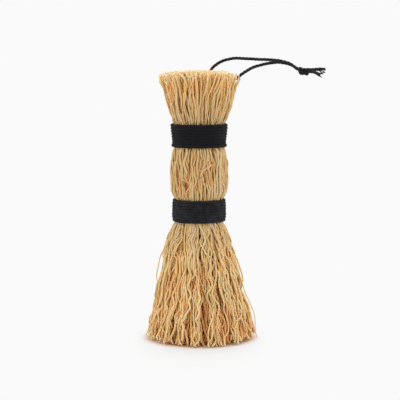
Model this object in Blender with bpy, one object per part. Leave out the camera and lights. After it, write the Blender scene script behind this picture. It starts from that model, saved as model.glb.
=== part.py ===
# Washing-up whisk: a bundle of stiff plant-root fibres, bound twice with black cord.
#
# Under the two bindings the fibres are pressed into one solid packing, which swells a
# little in the grip between them. Below the lower binding they spread into the long
# working end, and above the upper one into a short flare. The packing is cut like a
# cake into bunches, whose strands are drawn out of its end faces. The inner bunches
# run the whole length. The outer ones are in three lengths, for the working end, the
# grip and the flare, which meet out of sight under the bindings. A loop of the same
# cord comes out of the flare, with its two ends tied in an overhand knot.
#
# Metres, +Z up. The cut ends of the working fibres stand on z = 0, and the bundle's
# axis is the Z axis.

import math
import random

import bmesh
import bpy
from mathutils import Matrix, Vector

# Lengths along the bundle, from the floor up
WORKING_LENGTH = 0.0724
GRIP_LENGTH = 0.0326
FLARE_LENGTH = 0.0290

# Radii of the bundle
FOOT_RADIUS = 0.0331
SHOULDER_RADIUS = 0.0195
LOWER_NECK_RADIUS = 0.0146
GRIP_RADIUS = 0.0177
UPPER_NECK_RADIUS = 0.0149
FLARE_ROOT_RADIUS = 0.0155
FLARE_RADIUS = 0.0240
SHOULDER_DROP = 0.0121

# The binding cord and its turns
BINDING_CORD = 0.00125
TURN_GAP = 0.00046
BINDING_TURNS = 7
POINTS_PER_TURN = 24
BINDING_RESOLUTION = 1
BINDING_CLEARANCE = 0.0003
PACKING_OVERHANG = 0.0009

# Bunches of fibres, cut from the packing
OUTER_BUNCHES = 12
INNER_BUNCHES = 6
RING_RADIUS = 0.0073
CORE_RADIUS = 0.0016
BUNCH_GAP = 0.0003
RIB_DEPTH = 0.00045
OUTER_COLUMNS = 4
INNER_COLUMNS = 3
BUNCH_ROWS = 3

# Strands, drawn out of the bunches' end faces
STRAND_WIDTH = 0.0010
STRAND_TIP_WIDTH = 0.0008
OUTER_TIP_RISE = 0.0034
FLARE_TIP_DROP = 0.0022
ROOT_SHARE = 0.62
SPREAD_JITTER_SHARE = 0.10
TIP_JITTER_SHARE = 0.24
STRAND_SEED = 11
CREST_SHARE = 0.5

# The hanging loop: its cord, where it leaves the flare, its knot and its two ends
LOOP_CORD = 0.0016
LOOP_RESOLUTION = 2
LOOP_POINT_SPACING = 0.0034
ROUTE_STEPS = 20
SWING_CLEARANCE = 0.0002
CORD_GAP = 0.0003
LEAD_RUN = 0.0016
KNOT_CORD = 0.00115
KNOT_GAP = 0.00018
KNOT_STEPS = 40
KNOT_POINT_SPACING = 0.00045
FRAYED_END = 0.0021
FRAYED_LENGTH = 0.0030

# Cell of the flare that each leg of the loop comes out of, counted from nought
FRONT_LEG_BUNCH = 0
FRONT_LEG_COLUMN = 0
FRONT_LEG_ROW = 2
BACK_LEG_BUNCH = 2
BACK_LEG_COLUMN = 1
BACK_LEG_ROW = 1
FRONT_LEG_DROP = 0.0021
BACK_LEG_RISE = 0.0014

# Route of each leg from its exit towards the knot, and of each cord end away from it
FRONT_LEG_ROUTE = [
    (0.0241, 0.0020, 0.1596),
    (0.0257, 0.0024, 0.1609),
    (0.0280, 0.0030, 0.1624),
    (0.0305, 0.0036, 0.1638),
    (0.0334, 0.0042, 0.1651),
    (0.0375, 0.0049, 0.1662),
    (0.0417, 0.0055, 0.1671),
    (0.0461, 0.0059, 0.1676),
    (0.0500, 0.0063, 0.1674),
    (0.0545, 0.0066, 0.1664),
]
BACK_LEG_ROUTE = [
    (0.0075, 0.0180, 0.1639),
    (0.0090, 0.0175, 0.1654),
    (0.0113, 0.0170, 0.1671),
    (0.0135, 0.0165, 0.1682),
    (0.0163, 0.0158, 0.1692),
    (0.0205, 0.0148, 0.1700),
    (0.0247, 0.0138, 0.1700),
    (0.0305, 0.0127, 0.1697),
    (0.0364, 0.0116, 0.1694),
    (0.0420, 0.0108, 0.1692),
    (0.0463, 0.0102, 0.1689),
    (0.0500, 0.0097, 0.1682),
    (0.0545, 0.0091, 0.1669),
]
KNOT_CENTRE = (0.0627, 0.0062, 0.1623)
KNOT_SLOPE = math.radians(17)
KNOT_ROLL = math.radians(38)
UPPER_END_ROUTE = [
    (0.0692, 0.0087, 0.1635),
    (0.0714, 0.0089, 0.1636),
    (0.0736, 0.0089, 0.1636),
    (0.0755, 0.0088, 0.1635),
]
LOWER_END_ROUTE = [
    (0.0690, 0.0064, 0.1618),
    (0.0706, 0.0061, 0.1612),
    (0.0719, 0.0059, 0.1605),
    (0.0732, 0.0055, 0.1591),
]

# Heights that follow from the sizes above
TURN_PITCH = BINDING_CORD + TURN_GAP
BINDING_HEIGHT = BINDING_TURNS * TURN_PITCH + BINDING_CORD
LOWER_BINDING_BASE = WORKING_LENGTH
LOWER_BINDING_TOP = LOWER_BINDING_BASE + BINDING_HEIGHT
UPPER_BINDING_BASE = LOWER_BINDING_TOP + GRIP_LENGTH
UPPER_BINDING_TOP = UPPER_BINDING_BASE + BINDING_HEIGHT
OVERALL_HEIGHT = UPPER_BINDING_TOP + FLARE_LENGTH
PACKING_BASE = LOWER_BINDING_BASE - PACKING_OVERHANG
PACKING_TOP = UPPER_BINDING_TOP + PACKING_OVERHANG

# Barrel of the grip: shares of its height and of its swell over the necks
GRIP_HEIGHT_SHARES = (0.10, 0.40, 0.70, 0.93)
GRIP_SWELL_SHARES = (0.72, 1.00, 0.86, 0.50)

# The knot's trefoil is drawn in units of its own; a lead runs out on either side of it
KNOT_DEPTH_SHARE = 1.4
KNOT_STRAND_SHARE = 1.43
KNOT_UNIT = (KNOT_CORD + KNOT_GAP) / KNOT_STRAND_SHARE
KNOT_OPENING_SHARE = 0.25
KNOT_LEAD_SHARES = ((3.5, 2.0, 0.1), (2.85, 2.3, 0.35), (2.15, 2.2, 0.65), (1.62, 1.65, 0.9))


def clear_scene():
    for item in list(bpy.data.objects):
        bpy.data.objects.remove(item, do_unlink=True)


def finish_material(name, colour, roughness):
    finish = bpy.data.materials.new(name)
    finish.use_nodes = True
    shader = finish.node_tree.nodes["Principled BSDF"]
    shader.inputs["Base Color"].default_value = (*colour, 1.0)
    shader.inputs["Roughness"].default_value = roughness
    shader.inputs["Metallic"].default_value = 0.0
    finish.diffuse_color = (*colour, 1.0)
    return finish


def polar(radius, angle, height):
    return Vector((radius * math.cos(angle), radius * math.sin(angle), height))


def blend(start, end, share):
    return start + (end - start) * share


def middle(start, end):
    return (start + end) / 2


# Levels of the packing: height, and outer radius of the pressed bundle there
def working_levels():
    seam = middle(LOWER_BINDING_BASE, LOWER_BINDING_TOP) - BUNCH_GAP / 2
    return [(PACKING_BASE, LOWER_NECK_RADIUS), (seam, LOWER_NECK_RADIUS)]


def grip_levels():
    lower_seam = middle(LOWER_BINDING_BASE, LOWER_BINDING_TOP) + BUNCH_GAP / 2
    upper_seam = middle(UPPER_BINDING_BASE, UPPER_BINDING_TOP) - BUNCH_GAP / 2
    levels = [(lower_seam, LOWER_NECK_RADIUS), (LOWER_BINDING_TOP, LOWER_NECK_RADIUS)]
    for height_share, swell_share in zip(GRIP_HEIGHT_SHARES, GRIP_SWELL_SHARES):
        neck = blend(LOWER_NECK_RADIUS, UPPER_NECK_RADIUS, height_share)
        height = LOWER_BINDING_TOP + GRIP_LENGTH * height_share
        levels.append((height, blend(neck, GRIP_RADIUS, swell_share)))
    levels.append((UPPER_BINDING_BASE, UPPER_NECK_RADIUS))
    levels.append((upper_seam, middle(UPPER_NECK_RADIUS, FLARE_ROOT_RADIUS)))
    return levels


def flare_levels():
    seam = middle(UPPER_BINDING_BASE, UPPER_BINDING_TOP) + BUNCH_GAP / 2
    seam_radius = middle(UPPER_NECK_RADIUS, FLARE_ROOT_RADIUS)
    return [(seam, seam_radius), (PACKING_TOP, FLARE_ROOT_RADIUS)]


class Bunch:
    """A wedge of the packing, between two angles and two radii, in columns and rows."""

    def __init__(self, name, start, end, inner_radius, columns, rows, outer_radius=None):
        self.name = name
        self.start = start
        self.end = end
        self.inner_radius = inner_radius
        self.columns = columns
        self.rows = rows
        self.outer_radius = outer_radius

    def radius(self, row, packing_radius):
        """Radius of a row's line; an outer bunch reaches the packing's own surface."""
        outer = self.outer_radius
        if outer is None:
            outer = packing_radius - RIB_DEPTH
        return blend(self.inner_radius, outer, row / self.rows)

    def angle(self, column, radius):
        """Angle of a column's line, clear of the neighbouring bunch by half the gap."""
        trim = math.asin(BUNCH_GAP / 2 / radius)
        return blend(self.start + trim, self.end - trim, column / self.columns)

    def point(self, row, column, packing_radius, height):
        radius = self.radius(row, packing_radius)
        return polar(radius, self.angle(column, radius), height)

    def crest(self, column, packing_radius, height):
        """Top of the rib in the middle of a column."""
        return polar(packing_radius, self.angle(column + CREST_SHARE, packing_radius), height)


def bunch_ring(bunch, packing_radius, height):
    """Outline of a bunch at one level, ribbed where it is the bundle's own surface."""
    points = []
    for column in range(bunch.columns):
        points.append(bunch.point(bunch.rows, column, packing_radius, height))
        if bunch.outer_radius is None:
            points.append(bunch.crest(column, packing_radius, height))
    for row in range(bunch.rows, 0, -1):
        points.append(bunch.point(row, bunch.columns, packing_radius, height))
    for column in range(bunch.columns, 0, -1):
        points.append(bunch.point(0, column, packing_radius, height))
    for row in range(bunch.rows):
        points.append(bunch.point(row, 0, packing_radius, height))
    return points


def end_face(mesh, bunch, ring, packing_radius, height):
    """Close one end of a bunch with a face for each cell, and return them by row and column."""
    found = {tuple(vertex.co): vertex for vertex in ring}

    def vertex_at(point):
        key = tuple(point)
        if key not in found:
            found[key] = mesh.verts.new(point)
        return found[key]

    grid = [
        [vertex_at(bunch.point(row, column, packing_radius, height))
         for column in range(bunch.columns + 1)]
        for row in range(bunch.rows + 1)
    ]
    cells = {}
    for row in range(bunch.rows):
        for column in range(bunch.columns):
            corners = (grid[row][column], grid[row][column + 1],
                       grid[row + 1][column + 1], grid[row + 1][column])
            cells[row, column] = mesh.faces.new(corners)
    if bunch.outer_radius is None:
        outer = grid[bunch.rows]
        for column in range(bunch.columns):
            top = vertex_at(bunch.crest(column, packing_radius, height))
            mesh.faces.new((outer[column], outer[column + 1], top))
    return cells


def draw_strand(mesh, cell, stations):
    """Draw a cell of an end face out into a four-sided strand through its stations."""
    root = cell.calc_center_median()
    outward = Vector((root.x, root.y, 0.0))
    if outward.length < CORE_RADIUS / 2:
        outward = Vector((1.0, 0.0, 0.0))
    outward.normalize()
    along = Vector((-outward.y, outward.x, 0.0))
    face = bmesh.ops.extrude_discrete_faces(mesh, faces=[cell])["faces"][0]
    for vertex in face.verts:
        vertex.co = root + (vertex.co - root) * ROOT_SHARE
    centre = root
    for target, width in stations:
        face = bmesh.ops.extrude_discrete_faces(mesh, faces=[face])["faces"][0]
        for vertex in face.verts:
            offset = vertex.co - centre
            across = math.copysign(width / 2, offset.dot(outward))
            sideways = math.copysign(width / 2, offset.dot(along))
            vertex.co = target + outward * across + along * sideways
        centre = target


def spread(root, factor, height, jitter, cell_size, chance):
    """Where a strand passes a height: its root moved out from the axis, and a little astray."""
    outward = (root.xy.length - chance.random() * 2 * jitter * cell_size.x) * factor
    aside = chance.uniform(-jitter, jitter) * cell_size.y * factor
    return polar(outward, math.atan2(root.y, root.x) + aside / outward, height)


def cell_measures(bunch, row, column, packing_radius):
    """Middle of a cell, its radial size and its size along the arc."""
    inner = bunch.radius(row, packing_radius)
    outer = bunch.radius(row + 1, packing_radius)
    radius = middle(inner, outer)
    turn = bunch.angle(column + 1, radius) - bunch.angle(column, radius)
    centre = polar(radius, bunch.angle(column + CREST_SHARE, radius), 0.0)
    return centre, Vector((outer - inner, turn * radius))


def outermost_root(packing_radius):
    """Radius of the middle of the outer row of cells in an end face."""
    valley = packing_radius - RIB_DEPTH
    row_size = (valley - RING_RADIUS) / BUNCH_ROWS
    return valley - row_size / 2


def working_strands(mesh, bunch, cells, chance):
    """Strands of the working end, from the lower neck to the floor."""
    root_radius = outermost_root(LOWER_NECK_RADIUS)
    shoulder = (SHOULDER_RADIUS - STRAND_WIDTH / 2) / root_radius
    foot = (FOOT_RADIUS - STRAND_TIP_WIDTH / 2) / root_radius
    shoulder_height = LOWER_BINDING_BASE - SHOULDER_DROP
    for (row, column), cell in cells.items():
        root, size = cell_measures(bunch, row, column, LOWER_NECK_RADIUS)
        outer_row = bunch.outer_radius is None and row == bunch.rows - 1
        rise = OUTER_TIP_RISE * chance.choice((0, 1)) * chance.random() if outer_row else 0.0
        tip = spread(root, foot, rise, TIP_JITTER_SHARE, size, chance)
        stations = [(tip, STRAND_TIP_WIDTH)]
        if bunch.outer_radius is None and row > 0:
            bend = spread(root, shoulder, shoulder_height, SPREAD_JITTER_SHARE, size, chance)
            stations.insert(0, (bend, STRAND_WIDTH))
        draw_strand(mesh, cell, stations)


def flare_strands(mesh, bunch, cells, skipped, chance):
    """Strands of the flared top, in the outer two rows of the bunches."""
    factor = (FLARE_RADIUS - STRAND_TIP_WIDTH / 2) / outermost_root(FLARE_ROOT_RADIUS)
    for (row, column), cell in cells.items():
        if (row, column) in skipped or row < bunch.rows - 2:
            continue
        root, size = cell_measures(bunch, row, column, FLARE_ROOT_RADIUS)
        height = OVERALL_HEIGHT - FLARE_TIP_DROP * chance.random() * chance.choice((0, 1))
        tip = spread(root, factor, height, TIP_JITTER_SHARE, size, chance)
        draw_strand(mesh, cell, [(tip, STRAND_TIP_WIDTH)])


def make_bunch(bunch, levels, finish, working=False, flare=False, skipped=()):
    """One bunch through its levels, with strands at its lower end, its upper end or both."""
    mesh = bmesh.new()
    rings = []
    for height, packing_radius in levels:
        outline = bunch_ring(bunch, packing_radius, height)
        rings.append([mesh.verts.new(point) for point in outline])
    for lower, upper in zip(rings, rings[1:]):
        for index in range(len(lower)):
            after = (index + 1) % len(lower)
            mesh.faces.new((lower[index], lower[after], upper[after], upper[index]))
    chance = random.Random(f"{STRAND_SEED} {bunch.name}")
    if working:
        cells = end_face(mesh, bunch, rings[0], levels[0][1], levels[0][0])
        working_strands(mesh, bunch, cells, chance)
    else:
        mesh.faces.new(rings[0])
    if flare:
        cells = end_face(mesh, bunch, rings[-1], levels[-1][1], levels[-1][0])
        flare_strands(mesh, bunch, cells, skipped, chance)
    else:
        mesh.faces.new(rings[-1])
    link_mesh(bunch.name, mesh, finish)


def link_mesh(name, mesh, finish):
    bmesh.ops.recalc_face_normals(mesh, faces=mesh.faces)
    data = bpy.data.meshes.new(name)
    mesh.to_mesh(data)
    mesh.free()
    data.materials.append(finish)
    bpy.context.collection.objects.link(bpy.data.objects.new(name, data))


def leg_cells(number):
    """Cells of one outer bunch that hold a leg of the loop in place of a strand."""
    legs = (
        (FRONT_LEG_BUNCH, FRONT_LEG_COLUMN, FRONT_LEG_ROW),
        (BACK_LEG_BUNCH, BACK_LEG_COLUMN, BACK_LEG_ROW),
    )
    return {(row, column) for bunch, column, row in legs if bunch == number}


def outer_bunch(length, number):
    step = math.tau / OUTER_BUNCHES
    return Bunch(f"{length}_bunch_{number + 1:02d}", step * number, step * (number + 1),
                 RING_RADIUS, OUTER_COLUMNS, BUNCH_ROWS)


def make_bunches(finish):
    for number in range(OUTER_BUNCHES):
        make_bunch(outer_bunch("working", number), working_levels(), finish, working=True)
        make_bunch(outer_bunch("grip", number), grip_levels(), finish)
        make_bunch(outer_bunch("flare", number), flare_levels(), finish, flare=True,
                   skipped=leg_cells(number))
    ends = (working_levels()[0], flare_levels()[-1])
    step = math.tau / INNER_BUNCHES
    for number in range(INNER_BUNCHES):
        inner = Bunch(f"inner_bunch_{number + 1:02d}", step * number, step * (number + 1),
                      CORE_RADIUS, INNER_COLUMNS, BUNCH_ROWS, RING_RADIUS - BUNCH_GAP)
        make_bunch(inner, ends, finish, working=True, flare=True)
    make_core(ends, finish)


def make_core(ends, finish):
    """The one thick fibre in the middle, square, from the floor to the top."""
    half = (CORE_RADIUS - BUNCH_GAP) / math.sqrt(2)
    mesh = bmesh.new()
    bmesh.ops.create_cube(mesh, size=2 * half)
    for vertex in mesh.verts:
        vertex.co.z = ends[1][0] if vertex.co.z > 0 else ends[0][0]
    faces = sorted(mesh.faces, key=lambda face: face.calc_center_median().z)
    base = faces[0]
    top = faces[-1]
    draw_strand(mesh, base, [(Vector((0.0, 0.0, 0.0)), STRAND_TIP_WIDTH)])
    draw_strand(mesh, top, [(Vector((0.0, 0.0, OVERALL_HEIGHT)), STRAND_TIP_WIDTH)])
    link_mesh("core_fibre", mesh, finish)


# Tubes: the bindings, the loop and its knot
def make_tube(name, points, diameter, resolution, finish, radii=None):
    curve = bpy.data.curves.new(name, "CURVE")
    curve.dimensions = "3D"
    curve.bevel_depth = diameter / 2
    curve.bevel_resolution = resolution
    curve.use_fill_caps = True
    spline = curve.splines.new("POLY")
    spline.points.add(len(points) - 1)
    for index, point in enumerate(points):
        spline.points[index].co = (*point, 1.0)
        spline.points[index].radius = radii[index] if radii else 1.0
    spline.use_smooth = True
    curve.materials.append(finish)
    item = bpy.data.objects.new(name, curve)
    bpy.context.collection.objects.link(item)
    return item


def least_gap(points, diameter, apart):
    """Least clear distance from a tube to itself, between points at least `apart` steps away."""
    least = math.inf
    for index, point in enumerate(points):
        for other in points[index + apart:]:
            least = min(least, (point - other).length)
    return least - diameter


def binding_points(base_height, base_radius, top_radius):
    """One helix round the neck, with a short straight run at each of its ends."""
    steps = BINDING_TURNS * POINTS_PER_TURN
    seat = BINDING_CLEARANCE + BINDING_CORD / 2
    points = []
    for step in range(steps + 1):
        share = step / steps
        radius = blend(base_radius, top_radius, share) + seat
        height = base_height + BINDING_CORD / 2 + BINDING_TURNS * TURN_PITCH * share
        points.append(polar(radius, math.tau * step / POINTS_PER_TURN, height))
    first = (points[0] - points[1]).normalized() * BINDING_CORD
    last = (points[-1] - points[-2]).normalized() * BINDING_CORD
    return [points[0] + first] + points + [points[-1] + last]


def make_bindings(finish):
    necks = {
        "lower_binding": (LOWER_BINDING_BASE, LOWER_NECK_RADIUS, LOWER_NECK_RADIUS),
        "upper_binding": (UPPER_BINDING_BASE, UPPER_NECK_RADIUS, FLARE_ROOT_RADIUS),
    }
    for name, (height, base_radius, top_radius) in necks.items():
        points = binding_points(height, base_radius, top_radius)
        make_tube(name, points, BINDING_CORD, BINDING_RESOLUTION, finish)
        gap = least_gap(points, BINDING_CORD, POINTS_PER_TURN // 2)
        print(f"{name}: least gap between turns {gap * 1000:.3f} mm")


def smooth_route(route, spacing):
    """Points at an even spacing along one smooth curve through a route's own points."""
    places = [Vector(place) for place in route]
    before = places[0] * 2 - places[1]
    after = places[-1] * 2 - places[-2]
    chain = [before] + places + [after]
    dense = []
    for index in range(1, len(chain) - 2):
        p0, p1, p2, p3 = chain[index - 1:index + 3]
        for step in range(ROUTE_STEPS):
            t = step / ROUTE_STEPS
            a = p1 * 2
            b = (p2 - p0) * t
            c = (p0 * 2 - p1 * 5 + p2 * 4 - p3) * t * t
            d = (p1 * 3 - p0 - p2 * 3 + p3) * t ** 3
            dense.append((a + b + c + d) / 2)
    dense.append(places[-1])
    travelled = [0.0]
    for start, end in zip(dense, dense[1:]):
        travelled.append(travelled[-1] + (end - start).length)
    count = max(2, round(travelled[-1] / spacing))
    points = []
    for step in range(count + 1):
        target = travelled[-1] * step / count
        index = next((i for i, length in enumerate(travelled) if length >= target), len(dense) - 1)
        index = max(index, 1)
        stretch = travelled[index] - travelled[index - 1]
        share = (target - travelled[index - 1]) / stretch if stretch else 0.0
        points.append(blend(dense[index - 1], dense[index], share))
    return points


def leg_line(number, column, row, rise):
    """Foot and outlet of a leg of the loop, on the line that its cell's strand would follow."""
    bunch = outer_bunch("flare", number)
    root = cell_measures(bunch, row, column, FLARE_ROOT_RADIUS)[0]
    factor = (FLARE_RADIUS - STRAND_TIP_WIDTH / 2) / outermost_root(FLARE_ROOT_RADIUS)
    foot = Vector((root.x, root.y, PACKING_TOP))
    tip = Vector((root.x * factor, root.y * factor, OVERALL_HEIGHT))
    along = (tip - foot).normalized()
    return foot + along * CORD_GAP, tip + along * rise


def knot_route():
    """An overhand knot: a trefoil opened at one lobe, with a lead out on either side."""
    route = [Vector(lead) for lead in KNOT_LEAD_SHARES]
    opening = math.pi * KNOT_OPENING_SHARE
    for step in range(KNOT_STEPS + 1):
        t = math.pi + opening + (math.tau - 2 * opening) * step / KNOT_STEPS
        along = math.sin(t) + 2 * math.sin(2 * t)
        across = 2 * math.cos(2 * t) - math.cos(t)
        route.append(Vector((along, across, -KNOT_DEPTH_SHARE * math.sin(3 * t))))
    for along, across, depth in reversed(KNOT_LEAD_SHARES):
        route.append(Vector((-along, across, -depth)))
    roll = Matrix.Rotation(math.pi / 2 - KNOT_ROLL, 3, "X")
    slope = Matrix.Rotation(KNOT_SLOPE, 3, "Y")
    return [slope @ roll @ (point * KNOT_UNIT) + Vector(KNOT_CENTRE) for point in route]


def lead_points(lead, inner, side):
    """Where a cord lies beside its fellow at one lead of the knot: its end and a point outward."""
    outward = (lead - inner).normalized()
    sideways = Vector((0.0, 0.0, 1.0)).cross(outward).normalized() * side
    end = lead + outward * CORD_GAP + sideways * (LOOP_CORD + CORD_GAP) / 2
    return end, end + outward * LEAD_RUN


def make_leg(name, line, route, end, finish):
    """One leg of the loop: the stretch held in the flare, then the free one to the knot."""
    outlet = line[1]
    make_tube(f"{name}_held", smooth_route(line, LOOP_POINT_SPACING), LOOP_CORD,
              LOOP_RESOLUTION, finish)
    onward = (Vector(route[0]) - outlet).normalized()
    start = outlet + onward * (LOOP_CORD / 2 + SWING_CLEARANCE)
    points = smooth_route([start] + route + [end[1], end[0]], LOOP_POINT_SPACING)
    return make_tube(name, points, LOOP_CORD, LOOP_RESOLUTION, finish)


def make_knot(knot, finish):
    points = smooth_route(knot, KNOT_POINT_SPACING)
    gap = least_gap(points, KNOT_CORD, round(3 * KNOT_CORD / KNOT_POINT_SPACING))
    print(f"loop_knot: least gap to itself {gap * 1000:.3f} mm")
    return make_tube("loop_knot", points, KNOT_CORD, LOOP_RESOLUTION, finish)


def make_cord_end(name, start, route, finish):
    """A cut end of the cord, which frays and widens towards its tip."""
    points = smooth_route([start[0], start[1]] + route, LOOP_POINT_SPACING / 2)
    frayed = FRAYED_END / LOOP_CORD
    radii = []
    for point in points:
        reach = (points[-1] - point).length
        radii.append(blend(frayed, 1.0, min(1.0, reach / FRAYED_LENGTH)))
    return make_tube(name, points, LOOP_CORD, LOOP_RESOLUTION, finish, radii)


def make_hanging_loop(finish):
    """The loop, whose free part swings about the line through its two outlets."""
    knot = knot_route()
    front = leg_line(FRONT_LEG_BUNCH, FRONT_LEG_COLUMN, FRONT_LEG_ROW, -FRONT_LEG_DROP)
    back = leg_line(BACK_LEG_BUNCH, BACK_LEG_COLUMN, BACK_LEG_ROW, BACK_LEG_RISE)
    moving = [
        make_leg("front_leg", front, FRONT_LEG_ROUTE, lead_points(knot[-1], knot[-2], 1), finish),
        make_leg("back_leg", back, BACK_LEG_ROUTE, lead_points(knot[-1], knot[-2], -1), finish),
        make_knot(knot, finish),
        make_cord_end("upper_cord_end", lead_points(knot[0], knot[1], 1), UPPER_END_ROUTE, finish),
        make_cord_end("lower_cord_end", lead_points(knot[0], knot[1], -1), LOWER_END_ROUTE, finish),
    ]
    pivot = bpy.data.objects.new("loop_swing", None)
    pivot.location = front[1]
    bpy.context.collection.objects.link(pivot)
    for item in moving:
        item.parent = pivot
        item.location = -pivot.location
    axis = (front[1] - back[1]).normalized()
    print(f"loop_swing: through {tuple(round(value, 6) for value in front[1])}"
          f" along {tuple(round(value, 5) for value in axis)}")


clear_scene()
root_fibre = finish_material("root_fibre", (0.60, 0.38, 0.17), 0.75)
black_cord = finish_material("black_cord", (0.016, 0.015, 0.017), 0.80)
make_bunches(root_fibre)
make_bindings(black_cord)
make_hanging_loop(black_cord)
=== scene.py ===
# Washing-up whisk: the looks. Root fibres, cord windings and a knotted hanging loop,
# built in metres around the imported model, with the whisk standing on z = 0.

import math
from collections.abc import Callable
from dataclasses import dataclass

import bpy
import numpy as np
from mathutils import Matrix, Vector


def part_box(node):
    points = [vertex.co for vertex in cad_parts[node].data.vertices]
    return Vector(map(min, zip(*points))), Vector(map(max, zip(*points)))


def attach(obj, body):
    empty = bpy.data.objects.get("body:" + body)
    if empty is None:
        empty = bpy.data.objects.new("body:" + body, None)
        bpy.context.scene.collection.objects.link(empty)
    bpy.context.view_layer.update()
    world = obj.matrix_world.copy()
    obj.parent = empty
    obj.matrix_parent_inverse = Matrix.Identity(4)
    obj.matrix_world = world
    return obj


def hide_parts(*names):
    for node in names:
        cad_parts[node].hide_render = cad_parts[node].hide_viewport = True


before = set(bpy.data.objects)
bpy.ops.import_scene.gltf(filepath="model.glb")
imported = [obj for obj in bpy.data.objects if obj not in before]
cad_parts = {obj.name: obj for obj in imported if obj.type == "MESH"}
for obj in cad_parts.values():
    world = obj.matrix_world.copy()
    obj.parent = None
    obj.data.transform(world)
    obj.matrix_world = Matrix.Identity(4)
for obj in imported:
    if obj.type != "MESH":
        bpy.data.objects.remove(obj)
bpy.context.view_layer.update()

# The camera stands about level with the top of the whisk and looks at its middle
CAMERA_TARGET = Vector((0.0, 0.0, 0.0844))
CAMERA_PLACE = Vector((0.0, -0.90, 0.177))
FRAME_WIDTH = 0.2431
SENSOR_WIDTH = 36.0
CLIP_END = 100.0

# Outline of the bundle: pairs of height and radius, for each stretch that shows
WORKING_OUTLINE = [
    (0.0000, 0.0333), (0.0060, 0.0331), (0.0110, 0.0321), (0.0163, 0.0309), (0.0217, 0.0295),
    (0.0271, 0.0278), (0.0326, 0.0263), (0.0380, 0.0249), (0.0434, 0.0230), (0.0524, 0.0210),
    (0.0561, 0.0201), (0.0597, 0.0192), (0.0633, 0.0180), (0.0669, 0.0166), (0.0700, 0.0151),
    (0.0722, 0.0143), (0.0742, 0.0137), (0.0775, 0.0136),
]
GRIP_OUTLINE = [
    (0.0820, 0.0137), (0.0848, 0.0140), (0.0862, 0.0151), (0.0884, 0.0169), (0.0904, 0.0175),
    (0.0977, 0.0179), (0.1013, 0.0176), (0.1067, 0.0173), (0.1122, 0.0166), (0.1158, 0.0158),
    (0.1176, 0.0148), (0.1192, 0.0141), (0.1215, 0.0139),
]
FLARE_OUTLINE = [
    (0.1270, 0.0142), (0.1302, 0.0149), (0.1320, 0.0163), (0.1357, 0.0176), (0.1393, 0.0188),
    (0.1429, 0.0203), (0.1465, 0.0212), (0.1501, 0.0221), (0.1538, 0.0232), (0.1600, 0.0250),
    (0.1640, 0.0259),
]
OUTLINE_BLUR = 0.0022

# Fibres
SEEDS = {"working": 31, "inner": 32, "grip": 13, "flare": 34, "strays": 15}
OUTER_SIDES = 6
INNER_SIDES = 4

# Cords: the loop's own and the one that is wound round the necks
LOOP_CORD = 0.0016
LOOP_FULLNESS_SHARE = 1.25
BINDING_CORD = 0.0016


def blend(start, end, share):
    """From start to end as share goes from 0 to 1."""
    return start + (end - start) * share


def ease(share):
    """Rises from 0 to 1 with no sudden start or stop."""
    share = np.clip(share, 0.0, 1.0)
    return share * share * (3 - 2 * share)


def add_object(name, data):
    """Put a new object with this data into the scene."""
    thing = bpy.data.objects.new(name, data)
    bpy.context.collection.objects.link(thing)
    return thing


# Camera
def set_camera():
    """One camera, whose frame is as wide as asked for at the target."""
    data = bpy.data.cameras.new("camera")
    data.sensor_width = SENSOR_WIDTH
    data.lens = SENSOR_WIDTH * (CAMERA_PLACE - CAMERA_TARGET).length / FRAME_WIDTH
    data.clip_end = CLIP_END
    camera = add_object("camera", data)
    camera.location = CAMERA_PLACE
    camera.rotation_euler = (CAMERA_PLACE - CAMERA_TARGET).to_track_quat("Z", "Y").to_euler()
    bpy.context.scene.camera = camera


set_camera()


# Materials
def linear(red, green, blue):
    """A colour given as it shows on a screen, from 0 to 255."""
    parts = (value / 255 for value in (red, green, blue))
    return tuple(p / 12.92 if p <= 0.04045 else ((p + 0.055) / 1.055) ** 2.4 for p in parts)


def opaque(colour):
    return (*colour, 1.0)


def screen_stops(stops):
    """The stops of a ramp, with colours given as they show on a screen."""
    return [(place, linear(*colour)) for place, colour in stops]


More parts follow.
